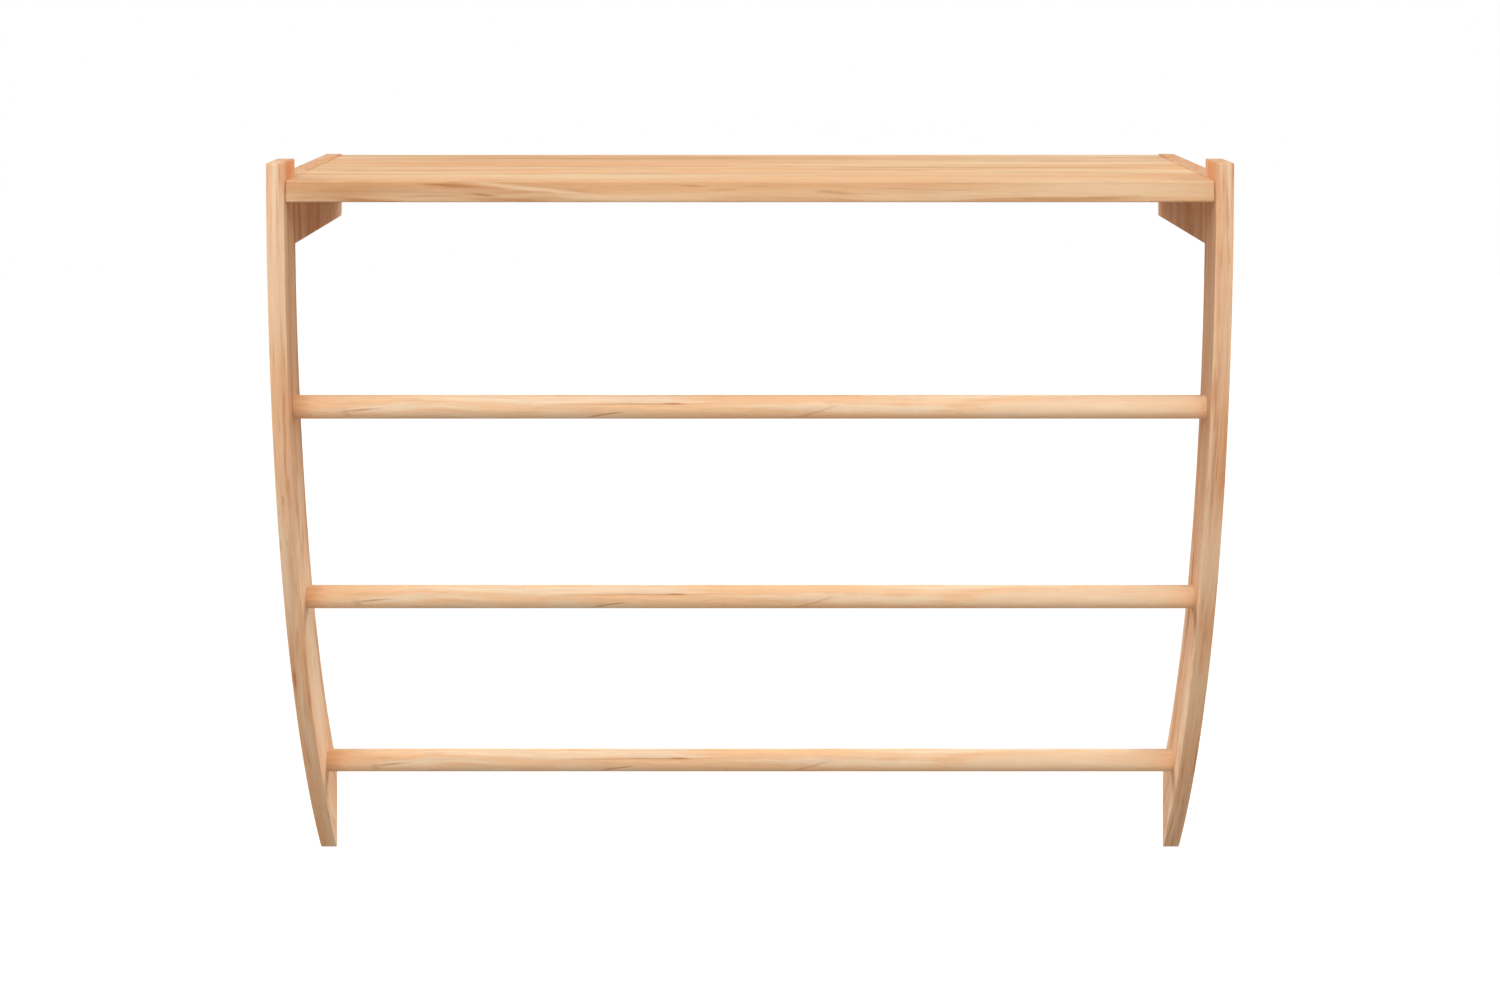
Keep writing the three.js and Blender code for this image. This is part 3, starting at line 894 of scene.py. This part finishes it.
side_looks_and_painted_light = {
    "left": ((0.15, 0.0, side_centre), 5.0, (
        (-0.110, 0, 0.110, 0.03, -0.7),
        # Painted shade: the whole arm darkened, top and faces, for the shade under the shelf.
        (-0.053, -0.210, 0.090, 0.20, 0.45),
        (-0.265, 0, 0.080, 0.03, -0.3),
        # Painted light: a paler band along the front of the inner face.
        (-0.150, -0.03, 0.110, 0.05, -0.3, -inner_face),
        # Painted shade: the inner face darkened at the arm's back end, by the wall.
        (-0.053, -0.320, 0.080, 0.07, 0.8, -inner_face),
        (-0.380, 0, 0.080, 0.03, -0.4),
        # Painted light: a paler band along the front of the inner face, lower down.
        (-0.430, -0.03, 0.060, 0.05, -0.4, -inner_face),
        # Painted shadow: the post's inner face darkened where the shelf meets it.
        (-0.018, -0.025, 0.030, 0.05, 0.9, -inner_face),
        # Painted light: the lower strip and toe paler at the front, where it turns down from the light.
        (-0.600, -0.02, 0.200, 0.03, -0.5),
    )),
    "right": ((1.35, 0.0, -side_centre), 12.0, (
        (-0.120, 0, 0.120, 0.03, -0.3),
        # Painted shade: the whole arm darkened, top and faces, for the shade under the shelf.
        (-0.053, -0.210, 0.090, 0.20, 0.45),
        (-0.360, 0, 0.080, 0.03, -0.7),
        (-0.510, 0, 0.090, 0.03, -0.6),
        # Painted light: a paler band along the front of the inner face.
        (-0.150, -0.03, 0.110, 0.05, -0.45, inner_face),
        # Painted shade: the inner face darkened at the arm's back end, by the wall.
        (-0.053, -0.320, 0.080, 0.07, 0.8, inner_face),
        # Painted shadow: the post's inner face darkened where the shelf meets it.
        (-0.018, -0.025, 0.030, 0.05, 0.6, inner_face),
        # Painted light: the lower strip and toe paler at the front, where it turns down from the light.
        (-0.600, -0.02, 0.200, 0.03, -0.5),
    )),
}
side_narrowing = (0.5, 0.6, 1)
front_bow = bow_through(bow_reach, lower_stand_off + toe_width, 0)
grain_bow = (front_bow[0], -front_bow[1], bow_centre_height - shelf_middle_height)

for side, sign in sides.items():
    centre_x = sign * side_centre
    blank = slab(side_outline(), centre_x - side_thickness / 2, centre_x + side_thickness / 2, side_arris)
    rail_spots = [((sign * inner_face, *middle(f"rail_{rail}")[1:]), (sign, 0, 0)) for rail in rails]
    socket_outline = round_hole(rail_radius + fit, -overrun, socket_depth)
    sockets = made_at(rail_spots, socket_outline, Sides=64)
    peg_spot = ((centre_x, -lower_stand_off, middle(f"wall_peg_{side}")[2]), y_axis)
    peg_outline = round_hole(peg_radius + fit, -peg_in_side - fit, overrun)
    peg_hole = made_at([peg_spot], peg_outline, Sides=32)
    seat = at_arm_end(slab(plate_outline(fit), -plate_thickness - fit, overrun, 0), side)
    pocket_outline = keyhole_outline(head_pocket_radius, head_pocket_radius - fit)
    pocket_floor = -plate_thickness - head_pocket_depth
    pocket = at_arm_end(slab(pocket_outline, pocket_floor, -plate_thickness + fit, 0), side)
    cutters = [screw_bores(side), sockets, dowel_holes(side), peg_hole, seat, pocket]
    cutters.append(plate_screw_holes(side))
    shift, seed, rows = side_looks_and_painted_light[side]
    wood = oiled_wood(
        f"side wood {side}", along_x, shift, z_axis, x_axis, None, [side_mark(*row) for row in rows],
        grain_bow, side_narrowing, Pith=(0, -0.09, -0.03), Ring_Width=0.0048, Wander=0.012, Figure=0.7,
        Flecks=0.8, Seed=seed, **side_colours)
    panel = piece(f"side_panel_{side}_board", cut_away(blank, cutters), wood, flat_faces=True)
    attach(panel, "root")
    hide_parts(f"side_panel_{side}")


# Shelf. One board glued up from four long staves, its long edges rounded over. It stands between
# the side panels, flush with the wall at the back, on dowels and screws at each end.
shelf_thickness = 0.018
shelf_depth = 0.330
shelf_edge_round = 0.0015
shelf_gap = 0.0003
shelf_stave = 0.0835
shelf_half = inner_face - shelf_gap
half_depth = shelf_thickness / 2
shelf_corners = ((-shelf_depth, -half_depth), (0, -half_depth), (0, half_depth), (-shelf_depth, half_depth))
shelf_section = eased([Vector(corner) for corner in shelf_corners], shelf_edge_round, 6)
shelf_blank = slab(shelf_section, -shelf_half, shelf_half, 0)
shelf_cutters = [holes(side) for side in sides for holes in (screw_bores, dowel_holes)]
shelf_narrowing = 0.3


def front_mark(depth, x, z, long, tall, strength, lean=0.0, deep=0.02):
    """A mark on a front face that stands out so deep, at x along it and z up it."""
    return (x, -depth, z), (long, deep, tall), strength, lean


def top_mark(x, y, long, deep, strength, tall=0.01):
    return (x, y, half_depth), (long, deep, tall), strength, 0.0


shelf_marks = [front_mark(shelf_depth, *row) for row in (
    (-0.330, 0, 0.070, 0.012, 0.5, 0.0, 0.04),
    (-0.220, 0, 0.110, 0.012, 0.4, 0.0, 0.03),
    (-0.350, -0.005, 0.060, 0.008, 0.2),
    (0.300, 0.001, 0.150, 0.014, -1.0, 0.0, 0.03),
    (-0.180, 0.0021, 0.075, 0.0026, -1.0, -0.1),
    (-0.249, 0.0050, 0.034, 0.0020, 0.9, -0.06),
    (-0.222, -0.0030, 0.016, 0.0016, 0.8, -0.08),
    (-0.200, -0.0068, 0.045, 0.0020, 0.6, -0.03),
    (-0.320, -0.0070, 0.040, 0.0020, 0.8, -0.03),
    (-0.048, 0.0045, 0.016, 0.0012, 0.6, -0.05),
    (0.070, -0.0010, 0.026, 0.0024, 0.7, -0.08),
    (0.255, -0.0062, 0.120, 0.0026, 0.7, 0.012),
)]
shelf_marks += [top_mark(*row) for row in (
    (-0.095, -0.250, 0.050, 0.007, 0.5),
    (0.140, -0.215, 0.022, 0.006, 0.45),
    (-0.150, -0.060, 0.40, 0.03, 0.3),
    (-0.300, -0.140, 0.25, 0.10, 0.2, 0.004),
    (0, -0.305, 0.60, 0.04, -0.25, 0.004),
)]
shelf_marks.append(front_mark(shelf_depth, 0.050, -0.004, 0.250, 0.009, -0.3))
shelf_wood = oiled_wood(
    "shelf wood", along_x, (0.55, shelf_depth / 2 + shelf_stave / 2, 0), x_axis, y_axis,
    marks=shelf_marks, narrowed=(0.36, shelf_narrowing, 1), Pith=(0, 0.03, -0.02),
    Stave_Width=shelf_stave * shelf_narrowing, Ring_Width=0.0052, Wander=0.02, Figure=0.62, Seed=21.0,
    Early_Wood=colour(235, 201, 163), Late_Wood=colour(186, 129, 84), Blush=colour(233, 184, 138))
shelf = piece("shelf", cut_away(shelf_blank, shelf_cutters), shelf_wood, flat_faces=True)
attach(shelf, "root")
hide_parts("shelf_board")


# Shelf dowels. Four short beech dowels, fluted for the glue and chamfered at both ends, about a
# third of each in a side panel and the rest in the shelf.
dowel_chamfer = 0.0008
dowel_flutes = 16
dowel_flute_share = 0.07


def chamfered(radius, low, high, chamfer):
    return [(0, low), (radius - chamfer, low), (radius, low + chamfer), (radius, high - chamfer),
            (radius - chamfer, high), (0, high)]


beech = {
    "Figure": 0.3,
    "Ring_Width": 0.002,
    "Wander": 0.004,
    "Early_Wood": colour(226, 197, 158),
    "Late_Wood": colour(196, 156, 114),
    "Blush": colour(220, 184, 146),
}
dowel_wood = oiled_wood(
    "dowel wood", along_z, (0.2, 0.01, 0.012), x_axis, x_axis, "grain", Seed=40.0, **beech)
dowel_profile = chamfered(dowel_radius, -dowel_length, 0, dowel_chamfer)
dowel_places = [spot for side in sides for spot in dowel_spots(side)]
dowel_mesh = made_at(
    dowel_places, dowel_profile, Sides=96, Flutes=dowel_flutes, Flute_Depth_Share=dowel_flute_share,
    Grain_Slip=0.4)
dowels = piece("shelf_dowels", dowel_mesh, dowel_wood)
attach(dowels, "root")
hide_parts(*[f"shelf_dowel_{end}_{side}" for side in sides for end in ends])


# Rails. Three round bars of the same wood, eased at the ends and bored there for their screws,
# let into the sockets of the side panels.
rail_half = 0.3887
rail_end_round = 0.0006
rail_bore_tip = outer_face - screw_sink - joint_screw["length"] - fit


def rail_profile(steps=4):
    """From the point of one end's bore, round the bar, to the point of the other's."""
    bore = joint_screw["radius"] + fit
    inner = rail_radius - rail_end_round
    end = [(0, rail_bore_tip), (bore, rail_bore_tip + joint_screw["tip"]), (bore, rail_half)]
    for turn in quarter(steps):
        end.append((inner + rail_end_round * sin(turn), rail_half - rail_end_round * (1 - cos(turn))))
    return [(radius, -along) for radius, along in end] + [(radius, along) for radius, along in reversed(end)]


rail_marks = [front_mark(rail_radius, *row) for row in (
    (-0.065, 0.0041, 0.012, 0.0012, 1.0),
    (-0.095, 0.0038, 0.085, 0.0010, 0.6, 0.004),
    (-0.341, -0.0040, 0.006, 0.0050, 0.35, -0.2),
    (-0.326, -0.0010, 0.022, 0.0012, 0.75, 0.07),
    (-0.124, -0.0055, 0.022, 0.0013, 0.75, 0.16),
    (0.056, -0.0030, 0.024, 0.0016, 0.4, 0.3),
    # Painted shade: a darker ring at the left end, where the rails go into the panel.
    (-0.385, 0, 0.022, 0.02, 0.55, 0.0, 0.03),
    (0.300, 0, 0.120, 0.02, -0.6, 0.0, 0.03),
)]
rail_wood = oiled_wood(
    "rail wood", along_z, (0, 0, 0), x_axis, x_axis, "grain", rail_marks, Pith=(0, 0.013, 0.017),
    Ring_Width=0.0055, Wander=0.013, Figure=0.28, Flecks=0.3, Seed=3.0, Early_Wood=colour(249, 225, 194),
    Late_Wood=colour(198, 140, 94), Blush=colour(249, 208, 165))
rail_places = [(middle(f"rail_{rail}"), x_axis) for rail in rails]
bars = piece("rails", made_at(rail_places, rail_profile(), Sides=64), rail_wood)
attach(bars, "root")
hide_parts(*[f"rail_{rail}" for rail in rails])


# Joint screws. Ten zinc-plated wood screws with cross recesses draw the rails and the shelf tight
# between the side panels.
def wood_screw_tree():
    """Screws: a turned blank with a cross recess in its head and a thread up from its point."""
    tree, given, result = new_group("wood screws", "GeometryNodeTree", {
        "Geometry": {"Places": None},
        "Object": {"Profile": None},
        "Int": {"Sides": 24, "Seed": 1},
        "Float": {"Length": 0.04, "Tip": 0.005, "Core Radius": 0.0014, "Thread Height": 0.0006,
                  "Thread Length": 0.026, "Thread Pitch": 0.0022, "Recess Length": 0.0044,
                  "Recess Width": 0.0009, "Recess Depth": 0.0012},
        "Material": {"Finish": None},
    }, {"Geometry": "Geometry"})
    profile = add(tree, "GeometryNodeObjectInfo", {"Object": given["Profile"]})["Geometry"]
    blank = {"Profile": profile, **picked(given, "Sides")}
    recessed = add(tree, "GeometryNodeGroup", blank, node_tree=lathe)[0]
    twice_deep = times(given["Recess Depth"], 2.0)
    for width, length in (("Recess Length", "Recess Width"), ("Recess Width", "Recess Length")):
        size = point(given[width], given[length], twice_deep)
        arm = add(tree, "GeometryNodeMeshCube", {"Size": size})["Mesh"]
        cut = {0: recessed, 1: arm}
        recessed = add(tree, "GeometryNodeMeshBoolean", cut, operation="DIFFERENCE", solver="EXACT")[0]
    points_per_turn, blunt_point = 14, 0.15
    helix = add(tree, "GeometryNodeCurveSpiral", {
        "Resolution": points_per_turn,
        "Rotations": maths("DIVIDE", given["Thread Length"], given["Thread Pitch"]),
        "Start Radius": 1.0,
        "End Radius": 1.0,
        "Height": given["Thread Length"],
    })[0]
    spot = parts(add(tree, "GeometryNodeInputPosition")[0])
    taper = maths("MINIMUM", maths("DIVIDE", spot["Z"], given["Tip"]), 1.0)
    reach = times(maths("MAXIMUM", taper, blunt_point), given["Core Radius"])
    x, y = (times(spot[axis], reach) for axis in "XY")
    laid = point(x, y, minus(spot["Z"], given["Length"]))
    path = add(tree, "GeometryNodeSetPosition", {"Geometry": helix, "Position": laid})[0]
    upright = add(tree, "GeometryNodeSetCurveNormal", {"Curve": path}, mode="Z_UP")[0]
    three_sided = {"Resolution": 3, "Radius": given["Thread Height"]}
    ridge = add(tree, "GeometryNodeCurvePrimitiveCircle", three_sided)["Curve"]
    wound = {"Curve": upright, "Profile Curve": ridge, "Fill Caps": True}
    thread = add(tree, "GeometryNodeCurveToMesh", wound)[0]
    joined = add(tree, "GeometryNodeJoinGeometry", {0: recessed})[0]
    fill(joined.node, {0: thread})
    fill(result, {"Geometry": placed(tree, given, joined, "Seed", "Finish")})
    return tree


def zinc_group():
    """Zinc plating: a grey that clouds a little, with fine rubbed lines along one direction."""
    tree, given, result = new_group("zinc plating", "ShaderNodeTree", {
        "Vector": {"Place": None, "Lines": (3000, 3000, 200)},
        "Color": {"Bright": white, "Dull": white},
    }, {"Color": "Color", "Roughness": "Float", "Height": "Float"})
    cloud_cells, pit_cells = (320, 320, 320), (2600, 2600, 2600)
    line_dark, line_light, pit_shade = 0.9, 1.05, 0.7
    clear_gloss, cloudy_gloss, line_gloss = 0.2, 0.34, 0.22
    cloud = noise(given["Place"], cloud_cells, 3.0)["Fac"]
    lines = noise(given["Place"], given["Lines"], 2.0)["Fac"]
    pits = ramp(noise(given["Place"], pit_cells, 1.0)["Fac"], 0.66, 0.76)
    tint = mixed(ramp(cloud, 0.3, 0.7), given["Bright"], given["Dull"])
    lined = ramp(lines, 0.2, 0.8, line_dark, line_light)
    gloss = ramp(cloud, 0.2, 0.8, clear_gloss, cloudy_gloss)
    fill(result, {
        "Color": scaled(tint, times(lined, ramp(pits, 0.0, 1.0, 1.0, pit_shade))),
        "Roughness": plus_times(lines, line_gloss, gloss),
        "Height": plus_times(pits, -1.0, lines),
    })
    return tree


def plated_steel(name, bright, dull, lines, stored=None):
    material, tree = new_material(name)
    looks = {"Place": own_place(tree, stored), "Bright": bright, "Dull": dull, "Lines": lines}
    plating = add(tree, "ShaderNodeGroup", looks, node_tree=zinc)
    coat(tree, {
        "Base Color": plating["Color"],
        "Roughness": plating["Roughness"],
        "Normal": relief(tree, plating["Height"], zinc_bump, zinc_bump_depth),
        "Metallic": 1.0,
    })
    return material


wood_screws = wood_screw_tree()
zinc = zinc_group()
zinc_bump, zinc_bump_depth = 0.15, 0.00005
screw_core_radius = 0.0014
screw_neck = 0.011
shoulder = 0.9
screw_lines = (900, 900, 5000)
screw_steel = plated_steel("screw zinc", colour(206, 203, 192), colour(168, 164, 150), screw_lines, "grain")


def screw_blank(core, neck, length, tip, radius, head_radius, head_height, rim=0.0002):
    """A screw before it is threaded: point, core, smooth neck and countersunk head."""
    return [
        (0, -length),
        (core, -length + tip),
        (core, -head_height - neck),
        (radius, -head_height - neck * shoulder),
        (radius, -head_height),
        (head_radius, -rim),
        (head_radius, 0),
        (0, 0),
    ]


screw_profile = screw_blank(screw_core_radius, screw_neck, **joint_screw)
screw_places = []
for side, sign in sides.items():
    screw_places += [((x - sign * screw_sink, y, z), way) for (x, y, z), way in joint_spots(side, "screw")]
screw_mesh = made_at(
    screw_places, screw_profile, wood_screws, Length=joint_screw["length"], Tip=joint_screw["tip"],
    Core_Radius=screw_core_radius, Seed=4)
joint_screws = piece("joint_screws", screw_mesh, screw_steel)
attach(joint_screws, "root")
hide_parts(*joint_nodes("screw"))


# Plugs. Ten face-grain plugs of the same wood, glued over the screw heads and sanded flush, each
# with its grain turned a little off that of the board.
plug_edge = 0.00015
plug_wood = oiled_wood(
    "plug wood", along_z, (0.4, 0.0, 0.0), z_axis, x_axis, "grain", Pith=(0, 0.02, 0.03),
    Ring_Width=0.0035, Wander=0.005, Figure=0.75, Seed=31.0, Early_Wood=colour(222, 180, 140),
    Late_Wood=colour(176, 120, 80), Blush=colour(214, 164, 124))
plug_profile = chamfered(plug_radius, -plug_length, 0, plug_edge)
plug_places = [spot for side in sides for spot in joint_spots(side, "plug")]
plug_mesh = made_at(plug_places, plug_profile, Sides=48, Grain_Turn=0.5, Grain_Slip=0.3, Seed=7)
plugs = piece("plugs", plug_mesh, plug_wood)
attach(plugs, "root")
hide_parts(*joint_nodes("plug"))


# Hanger plates. Two pressed steel plates with a keyhole slot, let in flush at the ends of the
# arms, which hook over screws in the wall.
plate_edge = 0.00025
plate_lines = (3200, 3200, 220)
plate_steel = plated_steel("plate zinc", colour(214, 216, 218), colour(176, 180, 184), plate_lines)
for side in sides:
    plate_blank = slab(plate_outline(), -plate_thickness, 0, plate_edge, 2)
    slot = keyhole_outline(keyhole_radius, keyhole_slot_radius)
    keyhole = slab(slot, -plate_thickness - overrun, overrun, 0)
    holes = [at_arm_end(keyhole, side), plate_screw_holes(side)]
    plate_mesh = cut_away(at_arm_end(plate_blank, side), holes)
    plate = piece(f"hanger_plate_{side}_steel", plate_mesh, plate_steel, flat_faces=True)
    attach(plate, "root")
    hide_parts(f"hanger_plate_{side}")


# Hanger screws. Two small countersunk screws of the same zinc-plated steel hold each plate in its
# recess, one above the keyhole and one below it.
plate_core_radius = 0.001
plate_screw_neck = 0.002
plate_screw_profile = screw_blank(plate_core_radius, plate_screw_neck, **plate_screw)
plate_screw_places = [spot for side in sides for spot in plate_screw_spots(side)]
plate_screw_mesh = made_at(
    plate_screw_places, plate_screw_profile, wood_screws, Length=plate_screw["length"],
    Tip=plate_screw["tip"], Core_Radius=plate_core_radius, Thread_Height=0.0005, Thread_Length=0.0115,
    Thread_Pitch=0.0013, Recess_Length=0.0033, Recess_Width=0.0007, Recess_Depth=0.0009, Seed=9)
plate_screws = piece("hanger_screws", plate_screw_mesh, screw_steel)
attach(plate_screws, "root")
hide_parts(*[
    f"hanger_screw_{place}_{side}" for side in sides for place in ("upper", "lower")])


# Wall pegs. A turned peg in the back of each panel's toe spans the gap to the wall, so that the
# rack hangs upright, with a hole in its end for the buffer.
peg_edge = 0.0004
buffer_thickness = 0.002
buffer_stud_radius = 0.0012
buffer_stud_length = 0.004
peg_gap = 0.0003
peg_half = (lower_stand_off + peg_in_side - buffer_thickness - peg_gap) / 2


def peg_profile():
    bore = buffer_stud_radius + fit
    floor_of_bore = peg_half - buffer_stud_length - fit
    outside = chamfered(peg_radius, -peg_half, peg_half, peg_edge)[:-1]
    return outside + [(bore, peg_half), (bore, floor_of_bore), (0, floor_of_bore)]


peg_places = [(middle(f"wall_peg_{side}"), y_axis) for side in sides]
peg_mesh = made_at(peg_places, peg_profile(), Sides=32, Grain_Slip=0.3, Seed=3)
peg_wood = oiled_wood(
    "peg wood", along_z, (0.3, 0.01, 0.012), y_axis, y_axis, "grain", Seed=44.0, **beech)
pegs = piece("wall_pegs", peg_mesh, peg_wood)
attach(pegs, "root")
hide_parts(*[f"wall_peg_{side}" for side in sides])


# Buffers. A moulded rubber button with a short stud, pressed into the end of each peg, bears on
# the wall.
buffer_edge = 0.0005
bloom_cells, skin_cells = (700, 700, 700), (4000, 4000, 4000)
rubber_black, rubber_grey = colour(38, 37, 36), colour(66, 64, 62)
rubber_smooth, rubber_rough = 0.62, 0.85
rubber_bump, rubber_bump_depth = 0.3, 0.00005
rubber, rubber_tree = new_material("buffer rubber")
rubber_place = own_place(rubber_tree, None)
bloom = noise(rubber_place, bloom_cells, 3.0)["Fac"]
skin = noise(rubber_place, skin_cells, 2.0)["Fac"]
coat(rubber_tree, {
    "Base Color": mixed(ramp(bloom, 0.3, 0.75), rubber_black, rubber_grey),
    "Roughness": ramp(bloom, 0.2, 0.8, rubber_smooth, rubber_rough),
    "Normal": relief(rubber_tree, skin, rubber_bump, rubber_bump_depth),
})


def buffer_profile(steps=4):
    end = buffer_thickness + buffer_stud_length
    points = [(0, -end), (buffer_stud_radius, -end), (buffer_stud_radius, -buffer_thickness),
              (peg_radius, -buffer_thickness)]
    for turn in quarter(steps):
        points.append((peg_radius - buffer_edge * (1 - cos(turn)), -buffer_edge * (1 - sin(turn))))
    return points + [(0, 0)]


buffer_places = [((x, 0, z), y_axis) for (x, _, z), _ in peg_places]
buffers = piece("wall_buffers", made_at(buffer_places, buffer_profile(), Sides=32), rubber)
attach(buffers, "root")
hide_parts(*[f"wall_buffer_{side}" for side in sides])
